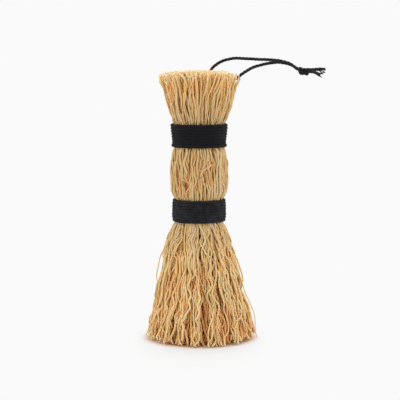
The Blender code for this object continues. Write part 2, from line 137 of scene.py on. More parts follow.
class Nodes:
    """Shorthand for building a material's nodes."""

    def __init__(self, name):
        self.material = bpy.data.materials.new(name)
        self.material.use_nodes = True
        self.tree = self.material.node_tree
        self.shader = self.tree.nodes["Principled BSDF"]

    def add(self, kind, values=(), **settings):
        node = self.tree.nodes.new(f"ShaderNode{kind}")
        for name, value in settings.items():
            setattr(node, name, value)
        for name, value in dict(values).items():
            self.join(value, node, name)
        return node

    def join(self, value, node, name):
        """Set an input to a value, or link it to another node's output."""
        if isinstance(value, bpy.types.NodeSocket):
            self.tree.links.new(value, node.inputs[name])
        else:
            node.inputs[name].default_value = value

    def attribute(self, name):
        return self.add("Attribute", attribute_name=name).outputs["Fac"]

    def stretched(self, across, along):
        """Object coordinates times a scale across the bundle and another along it."""
        place = self.add("TexCoord").outputs["Object"]
        return self.add("Mapping", {"Vector": place, "Scale": (across, across, along)}).outputs[0]

    def noise(self, vector, scale, detail=2.0):
        values = {"Vector": vector, "Scale": scale, "Detail": detail}
        return self.add("TexNoise", values).outputs["Fac"]

    def ramp(self, value, stops):
        node = self.add("ValToRGB", {"Fac": value})
        elements = node.color_ramp.elements
        for index, (place, colour) in enumerate(stops):
            element = elements[index] if index < 2 else elements.new(place)
            element.position = place
            element.color = opaque(colour)
        return node.outputs["Color"]

    def mix(self, share, first, second, how="MIX"):
        node = self.add("Mix", data_type="RGBA", blend_type=how)
        for index, value in ((0, share), (6, first), (7, second)):
            self.join(value, node, index)
        return node.outputs[2]

    def multiply(self, first, second):
        return self.add("Math", {0: first, 1: second}, operation="MULTIPLY").outputs[0]

    def remap(self, value, low, high, start=0.0, end=1.0):
        """A value that goes from low to high while the given one goes from start to end."""
        values = {"Value": value, "From Min": start, "From Max": end, "To Min": low, "To Max": high}
        return self.add("MapRange", values).outputs["Result"]

    def finish(self, **inputs):
        """Set the shader's own inputs, named with _ for each space, and give the material."""
        for name, value in inputs.items():
            self.join(value, self.shader, name.replace("_", " "))
        return self.material

    def bump(self, height, strength, distance):
        values = {"Height": height, "Strength": strength, "Distance": distance}
        return self.add("Bump", values).outputs["Normal"]


# Root fibre: its tones from tawny to pale straw, and the painted shade, darker and warmer, that
# strands take on deep between the others
ROOT_TONES = [
    (0.00, (212, 174, 116)),
    (0.25, (214, 182, 127)),
    (0.50, (216, 188, 136)),
    (0.78, (217, 193, 145)),
    (1.00, (219, 199, 155)),
]
DEEP_SHADE_TONES = [
    (0.00, (240, 190, 120)),
    (0.45, (240, 174, 100)),
    (1.00, (222, 144, 76)),
]
DEEP_SHADE_SHARE = 0.75
# Golden patches, longer than they are wide
GOLDEN_TONE = (240, 180, 88)
PATCH_SCALE = 190.0
PATCH_STRETCH = 0.55
PATCH_RANGE = (0.5, 0.78)
# Fine streaks along the root, which darken and roughen it a little
STREAK_SCALE = 2600.0
STREAK_STRETCH = 0.12
STREAK_DETAIL = 3.0
STREAK_FACTORS = [(0.25, (0.93, 0.90, 0.86)), (0.62, (1.0, 1.0, 1.0))]
STREAK_RANGE = (0.3, 0.7)
ROOT_ROUGHNESS = (0.72, 0.5)
ROOT_BUMP_STRENGTH = 0.3
ROOT_BUMP_DEPTH = 0.00008
ROOT_SPECULAR = 0.2
# Painted shade that darkens the middle of the bundle a little
MIDDLE_SHADE_TONE = (239, 238, 241)
CUT_TONE = (234, 214, 176)
# Light that comes through a root and warms it
GLOW_WEIGHT = 0.6
GLOW_REACH = (1.0, 0.6, 0.3)
GLOW_SCALE = 0.0010


def fibre_material():
    """Dry root: straw to golden, streaked along its length, paler where it is cut, with painted shade
    deep between the strands and over the bundle's middle, and a painted glow near the top.
    """
    nodes = Nodes("root_fibre")
    tones = nodes.ramp(nodes.attribute("tone"), screen_stops(ROOT_TONES))
    patches = nodes.noise(nodes.stretched(1.0, PATCH_STRETCH), PATCH_SCALE)
    patches = nodes.remap(patches, 0.0, 1.0, *PATCH_RANGE)
    # Golden patches at random, stronger near the top as a painted glow of light through the fibres
    gilding_and_painted_glow = nodes.multiply(patches, nodes.attribute("gilding_and_painted_glow"))
    golden = nodes.mix(gilding_and_painted_glow, tones, opaque(linear(*GOLDEN_TONE)))
    # Painted shade: strands deep in the bundle take a darker, warmer colour
    depth = nodes.attribute("depth")
    deep_shade = nodes.ramp(depth, screen_stops(DEEP_SHADE_TONES))
    deep_shaded = nodes.mix(nodes.remap(depth, 0.0, DEEP_SHADE_SHARE), golden, deep_shade)
    streaks = nodes.noise(nodes.stretched(1.0, STREAK_STRETCH), STREAK_SCALE, STREAK_DETAIL)
    streaked = nodes.mix(1.0, deep_shaded, nodes.ramp(streaks, STREAK_FACTORS), "MULTIPLY")
    # Painted shade over the middle of the bundle, a little darker there
    held = nodes.attribute("middle_shade")
    middle_shade = nodes.mix(held, streaked, opaque(linear(*MIDDLE_SHADE_TONE)), "MULTIPLY")
    cut = nodes.mix(nodes.attribute("cut"), middle_shade, opaque(linear(*CUT_TONE)))
    roughness = nodes.remap(streaks, *ROOT_ROUGHNESS, *STREAK_RANGE)
    normal = nodes.bump(streaks, ROOT_BUMP_STRENGTH, ROOT_BUMP_DEPTH)
    return nodes.finish(Base_Color=cut, Roughness=roughness, Normal=normal,
                        Specular_IOR_Level=ROOT_SPECULAR, Subsurface_Weight=GLOW_WEIGHT,
                        Subsurface_Radius=GLOW_REACH, Subsurface_Scale=GLOW_SCALE)


# Black cord: the grain of its yarns, and wider patches where it is worn and dusty
CORD_TONES = [(0.30, (6, 5, 8)), (0.75, (20, 19, 22))]
DUST_TONE = (50, 50, 54)
GRAIN_SCALE = 5200.0
GRAIN_DETAIL = 3.0
WORN_SCALE = 260.0
WORN_SHARES = (0.2, 1.0)
WORN_RANGE = (0.35, 0.75)
CORD_ROUGHNESS = 0.82
CORD_BUMP_STRENGTH = 0.6
CORD_BUMP_DEPTH = 0.00006
CORD_SPECULAR = 0.15
CORD_SHEEN = 0.03
CORD_SHEEN_ROUGHNESS = 0.5


def cord_material():
    """Matt black cord, with the yarns of each ply just showing."""
    nodes = Nodes("black_cord")
    grain = nodes.noise(nodes.stretched(1.0, 1.0), GRAIN_SCALE, GRAIN_DETAIL)
    worn = nodes.noise(nodes.stretched(1.0, 1.0), WORN_SCALE)
    black = nodes.ramp(grain, screen_stops(CORD_TONES))
    worn = nodes.multiply(nodes.remap(worn, *WORN_SHARES, *WORN_RANGE), nodes.attribute("dust"))
    dusty = nodes.mix(worn, black, opaque(linear(*DUST_TONE)))
    normal = nodes.bump(grain, CORD_BUMP_STRENGTH, CORD_BUMP_DEPTH)
    return nodes.finish(Base_Color=dusty, Roughness=CORD_ROUGHNESS, Normal=normal,
                        Specular_IOR_Level=CORD_SPECULAR, Sheen_Weight=CORD_SHEEN,
                        Sheen_Roughness=CORD_SHEEN_ROUGHNESS)


ROOT_FIBRE = fibre_material()
BLACK_CORD = cord_material()


# Tubes in one mesh, each with a strip of its own in the bake map
STEEP = 0.7
STRIP_ASPECT = 14
STRIP_MARGIN = 0.07
CAP_SHARE = 0.3


def rings_round(paths, radii, sides):
    """Corner points of tubes: paths is (tubes, rings, 3) and radii is (tubes, rings)."""
    tangents = np.gradient(paths, axis=1)
    tangents /= np.linalg.norm(tangents, axis=2, keepdims=True)
    normals = np.zeros_like(paths)
    normal = np.where(np.abs(tangents[:, 0, 2:3]) > STEEP, [[1.0, 0.0, 0.0]], [[0.0, 0.0, 1.0]])
    for ring in range(paths.shape[1]):
        along = tangents[:, ring]
        normal = normal - along * (normal * along).sum(axis=1, keepdims=True)
        normal /= np.linalg.norm(normal, axis=1, keepdims=True)
        normals[:, ring] = normal
    others = np.cross(tangents, normals)
    turn = np.linspace(0.0, math.tau, sides, endpoint=False)
    rounds = np.cos(turn)[:, None] * normals[:, :, None] + np.sin(turn)[:, None] * others[:, :, None]
    return paths[:, :, None] + rounds * radii[:, :, None, None]


def strip_places(tubes, rings, sides):
    """Places in the bake map of each tube's corners, its strip lying in a grid of strips."""
    columns = max(1, math.ceil(math.sqrt(tubes * STRIP_ASPECT)))
    rows = math.ceil(tubes / columns)
    number = np.arange(tubes)
    across = np.linspace(STRIP_MARGIN, 1 - STRIP_MARGIN, sides + 1)
    along = np.linspace(STRIP_MARGIN, 1 - STRIP_MARGIN, rings)
    u = ((number % columns)[:, None, None] + across[None, None, :]) / columns
    v = ((number // columns)[:, None, None] + along[None, :, None]) / rows
    return np.stack(np.broadcast_arrays(u, v), axis=-1)


def tube_mesh(name, paths, radii, sides, values, material):
    """One mesh of closed tubes. values holds named numbers, one for each tube or each ring."""
    tubes, rings = radii.shape
    corners = rings_round(paths, radii, sides)
    place = np.arange(tubes * rings * sides).reshape(tubes, rings, sides)
    after = np.roll(place, -1, axis=2)
    quads = np.stack([place[:, :-1], after[:, :-1], after[:, 1:], place[:, 1:]], axis=-1)
    first = place[:, 0, ::-1]
    last = place[:, -1]
    uv = strip_places(tubes, rings, sides)
    quad_places = np.stack([uv[:, :-1, :-1], uv[:, :-1, 1:], uv[:, 1:, 1:], uv[:, 1:, :-1]], axis=-2)
    # A cap lies beyond its strip's end, every other corner further out so that it has some area
    lift = np.zeros((tubes, sides, 2))
    lift[:, :, 1] = (STRIP_MARGIN * CAP_SHARE * (np.arange(sides) % 2 + 1)
                     * (uv[:, -1:, 0, 1] - uv[:, :1, 0, 1]))
    bake_places = (quad_places, uv[:, 0, :sides] - lift, uv[:, -1, :sides] + lift)

    mesh = bpy.data.meshes.new(name)
    mesh.from_pydata(corners.reshape(-1, 3).tolist(), [],
                     quads.reshape(-1, 4).tolist() + first.tolist() + last.tolist())
    smooth = np.ones(len(mesh.polygons), bool)
    smooth[-2 * tubes:] = False
    mesh.polygons.foreach_set("use_smooth", smooth)
    layer = mesh.uv_layers.new(name="OFBake")
    bake_places = np.concatenate([places.ravel() for places in bake_places])
    layer.uv.foreach_set("vector", bake_places.astype(np.float32))
    for label, numbers in values.items():
        numbers = np.asarray(numbers, float)
        if numbers.ndim == 1:
            numbers = np.repeat(numbers[:, None], rings, axis=1)
        spread = np.repeat(numbers[:, :, None], sides, axis=2)
        attribute = mesh.attributes.new(label, "FLOAT", "POINT")
        attribute.data.foreach_set("value", spread.ravel().astype(np.float32))
    mesh.materials.append(material)
    return add_object(name, mesh)


def settle(piece, body, slot, *nodes):
    """Say which body a piece rides on and which nodes it stands for; the finish it is given, slot, is
    not used.
    """
    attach(piece, body)
    if nodes:
        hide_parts(*nodes)
    return piece


# Routes: steps from each point of a route to the next, and the spacing of a cord's rings
ROUTE_STEPS = 24
CORD_STEP = 0.00045


def travel(points):
    """How far along a route each of its points is."""
    steps = np.linalg.norm(np.diff(points, axis=0), axis=1)
    return np.concatenate([[0.0], np.cumsum(steps)])


def smooth_route(route, spacing=CORD_STEP):
    """Points at an even spacing along one smooth curve through a route's own points."""
    places = np.array(route, float)
    chain = np.vstack([2 * places[0] - places[1], places, 2 * places[-1] - places[-2]])
    t = np.linspace(0.0, 1.0, ROUTE_STEPS, endpoint=False)[:, None]
    dense = []
    for p0, p1, p2, p3 in zip(chain, chain[1:], chain[2:], chain[3:]):
        dense.append((2 * p1 + (p2 - p0) * t + (2 * p0 - 5 * p1 + 4 * p2 - p3) * t ** 2
                      + (3 * p1 - p0 - 3 * p2 + p3) * t ** 3) / 2)
    dense = np.vstack(dense + [places[-1:]])
    travelled = travel(dense)
    count = max(2, round(travelled[-1] / spacing))
    even = np.linspace(0.0, travelled[-1], count + 1)
    return np.stack([np.interp(even, travelled, dense[:, axis]) for axis in range(3)], axis=1)


def length_of(points):
    """The length of a route, from point to point."""
    return float(np.linalg.norm(np.diff(points, axis=0), axis=1).sum())


def carried_frame(points, first):
    """A sideways and an upward direction at each point, carried along without twisting."""
    tangents = np.gradient(points, axis=0)
    tangents /= np.linalg.norm(tangents, axis=1, keepdims=True)
    sideways = []
    current = np.array(first, float)
    for along in tangents:
        current = current - along * current.dot(along)
        current /= np.linalg.norm(current)
        sideways.append(current)
    sideways = np.array(sideways)
    return sideways, np.cross(tangents, sideways)


# A cord of three plies: how they are laid, and how lumpy and dusty they are
PLIES = 3
PLY_SIDES = 8
PLY_SHARE = 0.295
PLY_LUMPINESS = 0.07
PLY_LUMP_LENGTH = 0.0037
PLY_LUMP_PHASE = 2.1
LAY_LENGTH = 0.0064
CORD_DUST = 0.8
# Where the second of two cords starts its twist, so that they aren't alike
SECOND_PHASE = 1.0
# How near to its pole a round end is modelled, as a share of its radius
BALL_SHARE = 0.93


def past_end(points, diameter):
    """A route with two points before its first, which reach as far as half a ball would."""
    onward = points[0] - points[1]
    onward = onward / np.linalg.norm(onward) * diameter / 2
    return np.vstack([points[0] + onward, points[0] + onward / 2, points])


def plied(name, points, diameter, dust=CORD_DUST, phase=0.0, round_end=None):
    """A twisted cord of three plies along a route, with an end that can go on as a half ball."""
    if round_end == "first":
        points = past_end(points, diameter)
    if round_end == "last":
        points = past_end(points[::-1], diameter)[::-1]
    sideways, upward = carried_frame(points, (0.0, 0.0, 1.0))
    travelled = travel(points)
    ply_radius = diameter * PLY_SHARE
    ball = np.ones(len(points))
    if round_end:
        from_end = travelled if round_end == "first" else travelled[-1] - travelled
        ball = np.sqrt(1 - np.clip(1 - 2 * from_end / diameter, 0.0, BALL_SHARE) ** 2)
    offset = (diameter / 2 - ply_radius) * ball[:, None]
    paths = []
    for ply in range(PLIES):
        turn = (math.tau * (travelled / LAY_LENGTH + ply / PLIES) + phase)[:, None]
        paths.append(points + offset * (np.cos(turn) * sideways + np.sin(turn) * upward))
    paths = np.array(paths)
    shifts = np.arange(PLIES)[:, None] * PLY_LUMP_PHASE
    lumps = np.sin(math.tau * travelled / PLY_LUMP_LENGTH + shifts)
    radii = ply_radius * (1 + PLY_LUMPINESS * lumps) * ball
    return tube_mesh(name, paths, radii, PLY_SIDES, {"dust": [dust] * PLIES}, BLACK_CORD)


# The loop: its outlets, the route of each leg, its knot and its two ends, as the model has them
FRONT_OUTLET = (0.022844, 0.001685, 0.158458)
BACK_OUTLET = (0.006223, 0.018535, 0.161787)
FRONT_LEG_ROUTE = [
    (0.0241, 0.0020, 0.1596), (0.0257, 0.0024, 0.1609), (0.0280, 0.0030, 0.1624),
    (0.0305, 0.0036, 0.1638), (0.0334, 0.0042, 0.1651), (0.0375, 0.0049, 0.1662),
    (0.0417, 0.0055, 0.1671), (0.0461, 0.0059, 0.1676), (0.0500, 0.0063, 0.1674),
    (0.0545, 0.0066, 0.1664),
]
BACK_LEG_ROUTE = [
    (0.0075, 0.0180, 0.1639), (0.0090, 0.0175, 0.1654), (0.0113, 0.0170, 0.1671),
    (0.0135, 0.0165, 0.1682), (0.0163, 0.0158, 0.1692), (0.0205, 0.0148, 0.1700),
    (0.0247, 0.0138, 0.1700), (0.0305, 0.0127, 0.1697), (0.0364, 0.0116, 0.1694),
    (0.0420, 0.0108, 0.1692), (0.0463, 0.0102, 0.1689), (0.0500, 0.0097, 0.1682),
    (0.0545, 0.0091, 0.1669),
]
KNOT_CENTRE = (0.0627, 0.0062, 0.1623)
KNOT_SLOPE = math.radians(17)
KNOT_ROLL = math.radians(84)
KNOT_UNIT = 0.00084
KNOT_DEPTH_SHARE = 1.4
KNOT_OPENING_SHARE = 0.25
KNOT_LEAD_SHARES = ((3.5, 2.0, 0.1), (2.85, 2.3, 0.35), (2.15, 2.2, 0.65), (1.62, 1.65, 0.9))
KNOT_STEPS = 40
KNOT_SQUEEZE_SHARE = 0.1
LEAD_APART = 0.0017
KNOT_APART = 0.0013
KNOT_STRAND = 0.00145
UPPER_END_ROUTE = [
    (0.0647, 0.0070, 0.1633), (0.0665, 0.0078, 0.1631), (0.0687, 0.0085, 0.1632),
    (0.0712, 0.0088, 0.1634), (0.0736, 0.0089, 0.1635), (0.0758, 0.0088, 0.1635),
]
LOWER_END_ROUTE = [
    (0.0646, 0.0066, 0.1622), (0.0664, 0.0064, 0.1620), (0.0686, 0.0064, 0.1619),
    (0.0704, 0.0061, 0.1613), (0.0719, 0.0059, 0.1604), (0.0734, 0.0055, 0.1589),
]
# The cut ends: each cord goes on whole for a while, and its yarns to tips of their own
TAIL_FULLNESS_SHARE = 1.35
YARN = 0.00084
YARN_TAPER_SHARE = 0.7
YARN_APART = 0.0006
YARN_ROOT_SHARE = 0.3
YARN_MIDDLE_SHARE = 0.62
YARN_RINGS = 16
YARN_SIDES = 6
YARN_DUST = 0.6
WHOLE_SHARE = 0.85
UPPER_YARN_TIPS = [
    (0.0763, 0.0094, 0.1641), (0.0766, 0.0088, 0.1634), (0.0762, 0.0082, 0.1627),
    (0.0756, 0.0089, 0.1619), (0.0742, 0.0084, 0.1614), (0.0749, 0.0086, 0.1643),
]
LOWER_YARN_TIPS = [
    (0.0737, 0.0055, 0.1586), (0.0729, 0.0062, 0.1589), (0.0747, 0.0050, 0.1605),
    (0.0760, 0.0064, 0.1616), (0.0720, 0.0050, 0.1598),
]
# Where a held leg bends towards its outlet, and how near it stays to the bundle's axis there
BEND_SHARE = 0.84
BEND_DEPTH_SHARE = 0.91


def knot_route():
    """An overhand knot: a trefoil opened at one lobe, with a lead out on either side."""
    route = [Vector(lead) for lead in KNOT_LEAD_SHARES]
    opening = math.pi * KNOT_OPENING_SHARE
    for step in range(KNOT_STEPS + 1):
        t = math.pi + opening + (math.tau - 2 * opening) * step / KNOT_STEPS
        along = math.sin(t) + 2 * math.sin(2 * t)
        across = 2 * math.cos(2 * t) - math.cos(t)
        route.append(Vector((along, across, -KNOT_DEPTH_SHARE * math.sin(3 * t))))
    for along, across, depth in reversed(KNOT_LEAD_SHARES):
        route.append(Vector((-along, across, -depth)))
    roll = Matrix.Rotation(math.pi / 2 - KNOT_ROLL, 3, "X")
    slope = Matrix.Rotation(KNOT_SLOPE, 3, "Y")
    return [slope @ roll @ (point * KNOT_UNIT) + Vector(KNOT_CENTRE) for point in route]


def knot_strands():
    """The two cords side by side through the knot, closer together inside it than at its leads."""
    centre = smooth_route(knot_route())
    outward = centre[0] - centre[1]
    first = np.cross((0.0, 0.0, 1.0), -outward)
    sideways = carried_frame(centre, first)[0]
    share = np.linspace(0.0, 1.0, len(centre))
    inside = ease(share / KNOT_SQUEEZE_SHARE) * ease((1 - share) / KNOT_SQUEEZE_SHARE)
    apart = blend(LEAD_APART, KNOT_APART, inside)[:, None]
    return [centre + sideways * apart * side / 2 for side in (-1, 1)]


def frayed(name, route, tips):
    """The yarns that a cord's end has come apart into, each from inside the cord to its own tip."""
    root = route[round(len(route) * YARN_ROOT_SHARE)]
    middle = route[round(len(route) * YARN_MIDDLE_SHARE)]
    paths = []
    for turn, tip in zip(np.linspace(0.0, math.tau, len(tips), endpoint=False), tips):
        sideways = np.array([0.0, math.cos(turn), math.sin(turn)]) * YARN_APART
        path = smooth_route([root + sideways / 2, middle + sideways, tip])
        even = np.linspace(0, len(path) - 1, YARN_RINGS)
        rings = np.arange(len(path))
        places = [np.interp(even, rings, path[:, axis]) for axis in range(3)]
        paths.append(np.stack(places, axis=1))
    radii = np.tile(np.linspace(1.0, YARN_TAPER_SHARE, YARN_RINGS), (len(tips), 1)) * YARN / 2
    dust = {"dust": [YARN_DUST] * len(tips)}
    return tube_mesh(name, np.array(paths), radii, YARN_SIDES, dust, BLACK_CORD)


def on_loop(piece, node):
    """Settle a piece of the loop's free part."""
    return settle(piece, "hanging_loop", "black_cord", node)


def make_loop():
    """The loop's free part: its two legs, their knot and the two cut ends."""
    front_strand, back_strand = sorted(knot_strands(), key=lambda strand: strand[-1][1])
    front = smooth_route([FRONT_OUTLET, *FRONT_LEG_ROUTE, front_strand[-1]])
    back = smooth_route([BACK_OUTLET, *BACK_LEG_ROUTE, back_strand[-1]])
    knot_parts = [
        on_loop(plied("knot_front_cord", front_strand, KNOT_STRAND), "loop_knot"),
        on_loop(plied("knot_back_cord", back_strand, KNOT_STRAND, phase=SECOND_PHASE), "loop_knot"),
    ]
    ends = (("upper_cord", UPPER_END_ROUTE, UPPER_YARN_TIPS),
            ("lower_cord", LOWER_END_ROUTE, LOWER_YARN_TIPS))
    for name, route, tips in ends:
        route = smooth_route(route)
        whole = route[:round(len(route) * WHOLE_SHARE)]
        tail = plied(f"{name}_tail", whole, LOOP_CORD * TAIL_FULLNESS_SHARE)
        on_loop(tail, f"{name}_end")
        on_loop(frayed(f"{name}_yarns", route, tips), f"{name}_end")
    fullness = LOOP_CORD * LOOP_FULLNESS_SHARE
    front_leg = plied("front_leg_cord", front, fullness, round_end="first")
    on_loop(front_leg, "front_leg")
    back_leg = plied("back_leg_cord", back, fullness, phase=SECOND_PHASE, round_end="first")
    on_loop(back_leg, "back_leg")


def make_held_legs():
    """The stretches of the loop's cord that run down among the fibres of the flare."""
    for name, outlet in (("front_leg", FRONT_OUTLET), ("back_leg", BACK_OUTLET)):
        foot = np.array(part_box(f"{name}_held")[0], float)
        foot[:2] += LOOP_CORD / 2
        bend = blend(foot, np.array(outlet), BEND_SHARE)
        bend[:2] *= BEND_DEPTH_SHARE
        points = smooth_route([foot, bend, outlet])
        root = plied(f"{name}_root", points, LOOP_CORD, round_end="last")
        settle(root, "whisk", "black_cord", f"{name}_held")


make_loop()
make_held_legs()


# The bundle bows a little to the left: heights, and how far to the side its axis lies there
LEAN = [
    (0.000, 0.0011), (0.020, 0.0008), (0.035, 0.0003), (0.050, -0.0002), (0.072, -0.0006),
    (0.100, -0.0005), (0.125, -0.0005), (0.165, -0.0010),
]


def lean(heights):
    """How far to the side the bundle's axis lies."""
    return np.interp(heights, *zip(*LEAN))


# Bindings: one cord each, wound in touching turns. Each turn steps up to the next at the back,
# and the cord's ends tuck under
POINTS_PER_TURN = 220
BINDING_START = math.radians(125)
STEP_SHARE = 0.2
TUCK_SHARE = 0.1
TUCK_DEPTH_SHARE = 0.9
TURN_SQUEEZE_SHARE = 1.4
TURN_SEAT_SHARE = 0.59


def make_binding(name, foot_height, height, turn_radii, dust):
    """A winding. turn_radii holds the outer radius of each turn, from the lowest."""
    turns = len(turn_radii)
    pitch = height / turns
    turn = np.linspace(0.0, turns - STEP_SHARE, round(turns * POINTS_PER_TURN))
    whole = np.minimum(turn.astype(int), turns - 1)
    step = ease((turn - whole - 1 + STEP_SHARE) / STEP_SHARE)
    level = foot_height + pitch * (whole + step + 0.5)
    outer = np.append(turn_radii, turn_radii[-1])
    radius = blend(outer[whole], outer[whole + 1], step) - BINDING_CORD * TURN_SEAT_SHARE
    tuck = ease(turn / TUCK_SHARE) * ease((turn[-1] - turn) / TUCK_SHARE)
    radius = radius - BINDING_CORD * TUCK_DEPTH_SHARE * (1 - tuck)
    angle = math.tau * turn + BINDING_START
    points = np.stack([radius * np.cos(angle) + lean(level), radius * np.sin(angle), level], axis=1)
    cord = plied(f"{name}_cord", points, BINDING_CORD * TURN_SQUEEZE_SHARE, dust)
    settle(cord, "whisk", "black_cord", name)


make_binding("lower_binding", foot_height=0.0718, height=0.0133, turn_radii=(
    0.0160, 0.0163, 0.0164, 0.0163, 0.0163, 0.0163, 0.0162, 0.0160), dust=0.6)
make_binding("upper_binding", foot_height=0.1170, height=0.0137, turn_radii=(
    0.0167, 0.0163, 0.0164, 0.0166, 0.0168, 0.0170, 0.0172, 0.0172), dust=0.1)


# How fibres wander, gather and lie side by side
BLUR_SHARES = (-1.0, -0.5, 0.0, 0.5, 1.0)
DRIFT_SPREAD = (0.7, 1.35)
CROWDING = 0.85
ANGLE_SCATTER = 0.03
RADIUS_SCATTER = 0.008
TUFT_REACH = 0.98
TUFT_SCATTER = 0.5
CLOSENESS_SHARE = 0.94
SETTLE_STEPS = 14
PUSH_SHARE = 0.9
PUSH_SMOOTHINGS = 2
TINY = 1e-7


def outline_radius(outline, heights):
    """Radius of the bundle at some heights, with the corners of the outline rounded off."""
    places, radii = zip(*outline)
    shifts = np.array(BLUR_SHARES) * OUTLINE_BLUR
    return np.mean([np.interp(heights + shift, places, radii) for shift in shifts], axis=0)


def drift(chance, tubes, along, spacing, size, kinked=False):
    """A sideways wander: random places along each fibre, joined by curves or kinks."""
    steps = spacing * chance.uniform(*DRIFT_SPREAD, (tubes, 1))
    place = along[None, :] / steps + chance.uniform(0.0, 1.0, (tubes, 1))
    before = place.astype(int)
    share = place - before
    spots = chance.normal(0.0, size, (tubes, before.max() + 2))
    start = np.take_along_axis(spots, before, axis=1)
    end = np.take_along_axis(spots, before + 1, axis=1)
    return blend(start, end, share if kinked else ease(share))


def sunflower(count, inner_share, outer_share, chance):
    """Even places in a ring of the unit circle, a little disturbed."""
    number = np.arange(count) + 0.5
    radius = np.sqrt(blend(inner_share ** 2, outer_share ** 2, (number / count) ** CROWDING))
    angle = number * math.pi * (3 - math.sqrt(5)) + chance.normal(0.0, ANGLE_SCATTER, count)
    radius = radius * (1 + chance.normal(0.0, RADIUS_SCATTER, count))
    return np.stack([radius * np.cos(angle), radius * np.sin(angle)], axis=1)


def find_tufts(places, count, chance):
    """For each fibre, the tuft that it gathers into, and the middle of each tuft."""
    centres = sunflower(count, 0.0, TUFT_REACH, chance)
    centres = centres + chance.normal(0.0, TUFT_SCATTER / math.sqrt(count), centres.shape)
    apart = np.linalg.norm(places[:, None] - centres[None], axis=2)
    return apart.argmin(axis=1), centres


def push_apart(spots, widths, limits):
    """Settle the fibres side by side: at each level, those that overlap push each other away.

    spots is (tubes, rings, 2), and limits is the farthest that each may lie from the axis."""
    tubes, rings = spots.shape[:2]
    touching = (widths[:, None] + widths[None]) / 2 * CLOSENESS_SHARE
    near = np.triu(touching ** 2, 1)
    for _ in range(SETTLE_STEPS):
        push = np.zeros_like(spots)
        for ring in range(rings):
            here = spots[:, ring]
            squares = (here ** 2).sum(axis=1)
            between = squares[:, None] + squares[None] - 2 * here @ here.T
            first, second = np.nonzero(between < near)
            gap = here[first] - here[second]
            apart = np.maximum(np.linalg.norm(gap, axis=1), TINY)
            overlap = np.maximum(touching[first, second] - apart, 0.0)
            shift = gap / apart[:, None] * overlap[:, None] / 2
            for axis in (0, 1):
                push[:, ring, axis] = (np.bincount(first, shift[:, axis], tubes)
                                       - np.bincount(second, shift[:, axis], tubes))
        for _ in range(PUSH_SMOOTHINGS):
            padded = np.concatenate([push[:, :1], push, push[:, -1:]], axis=1)
            push = (padded[:, :-2] + 2 * padded[:, 1:-1] + padded[:, 2:]) / 4
        spots = spots + push * PUSH_SHARE
        reach = np.maximum(np.linalg.norm(spots, axis=2), TINY)
        spots = spots * np.minimum(limits / reach, 1.0)[:, :, None]
    return spots


# Azimuth, height and depth of each dent, its width in degrees and its reach up and down
DENTS = [
    (-2, 0.1535, 0.0010, 34, 0.0034),
    (180, 0.1482, 0.0010, 36, 0.0044),
    (-123, 0.0938, 0.0034, 9, 0.0030),
    (-2, 0.0290, 0.0022, 20, 0.0050),
    (-78, 0.0300, 0.0030, 9, 0.0120),
    (-104, 0.0380, 0.0028, 7, 0.0070),
]


def dent_depth(places, heights):
    """How far the outline is pressed in beside each fibre: it has a few dents."""
    angle = np.arctan2(places[:, 1], places[:, 0])[:, None]
    depth = np.zeros(heights.shape)
    for azimuth, level, deepest, width, reach in DENTS:
        away = (angle - math.radians(azimuth) + math.pi) % math.tau - math.pi
        across = away / math.radians(width)
        depth += deepest * np.exp(-across ** 2 - ((heights - level) / reach) ** 2)
    return depth


# Azimuth and height of each gap, how far each side of it moves, and its reach up and down
PARTINGS = [
    (-123, 0.0945, 0.0020, 0.0030),
    (-88, 0.0180, 0.0016, 0.0110),
    (-119, 0.0318, 0.0009, 0.0045),
    (-69, 0.0424, 0.0008, 0.0040),
    (12, 0.1608, 0.0016, 0.0034),
]
PARTING_SPREAD = 0.0017
PARTING_DEPTH = 0.0060


def part(spots, heights, below):
    """Push the fibres aside where the bundle parts and shows its depth."""
    for azimuth, level, opening, reach in PARTINGS:
        turn = math.radians(azimuth)
        across = np.array([-math.sin(turn), math.cos(turn)])
        facing = spots @ np.array([math.cos(turn), math.sin(turn)]) > 0
        off = spots @ across
        nearest = np.abs(heights - level).argmin(axis=1)[:, None]
        side = np.sign(np.take_along_axis(off, nearest, axis=1))
        away = (off / PARTING_SPREAD) ** 2 + ((heights - level) / reach) ** 2
        away = away + (below / PARTING_DEPTH) ** 2
        spots = spots + (side * opening * np.exp(-away) * facing)[:, :, None] * across
    return spots


# Where each leg comes to lie across the top, and how far the ends are lowered there
GROOVES = [
    ((0.0062, 0.0185), (0.0038, 0.0100), 0.0024),
    ((0.0228, 0.0017), (0.0219, -0.0012), 0.0018),
]
GROOVE_WIDTH = 0.0022


def lowered(spots, heights, start):
    """Heights with the ends lowered that a leg of the loop passes over as it swings."""
    tips = spots[:, -1] + np.stack([lean(heights[:, -1]), np.zeros(len(spots))], axis=1)
    drop = np.zeros(len(spots))
    for foot, tip, deepest in GROOVES:
        foot = np.array(foot)
        line = np.array(tip) - foot
        share = np.clip((tips - foot) @ line / line.dot(line), 0.0, 1.0)
        away = np.linalg.norm(tips - foot - share[:, None] * line, axis=1)
        drop = np.maximum(drop, deepest * np.exp(-(away / GROOVE_WIDTH) ** 4))
    return start + (heights - start) * (1 - drop / (heights[:, -1] - start))[:, None]


# How some fibres stand out more than others, how their ends hook aside, and the reach of the painted
# shade between them
UNRULY_SHARE = 0.18
UNRULY = 1.4
HOOK_REACH_SHARES = (0.06, 0.20)
HOOK_POWER = 1.6
SPLAY_POWER = 0.5
LEAST_REACH = 0.02
DEEP = 0.0026
LIT_END = 0.0080


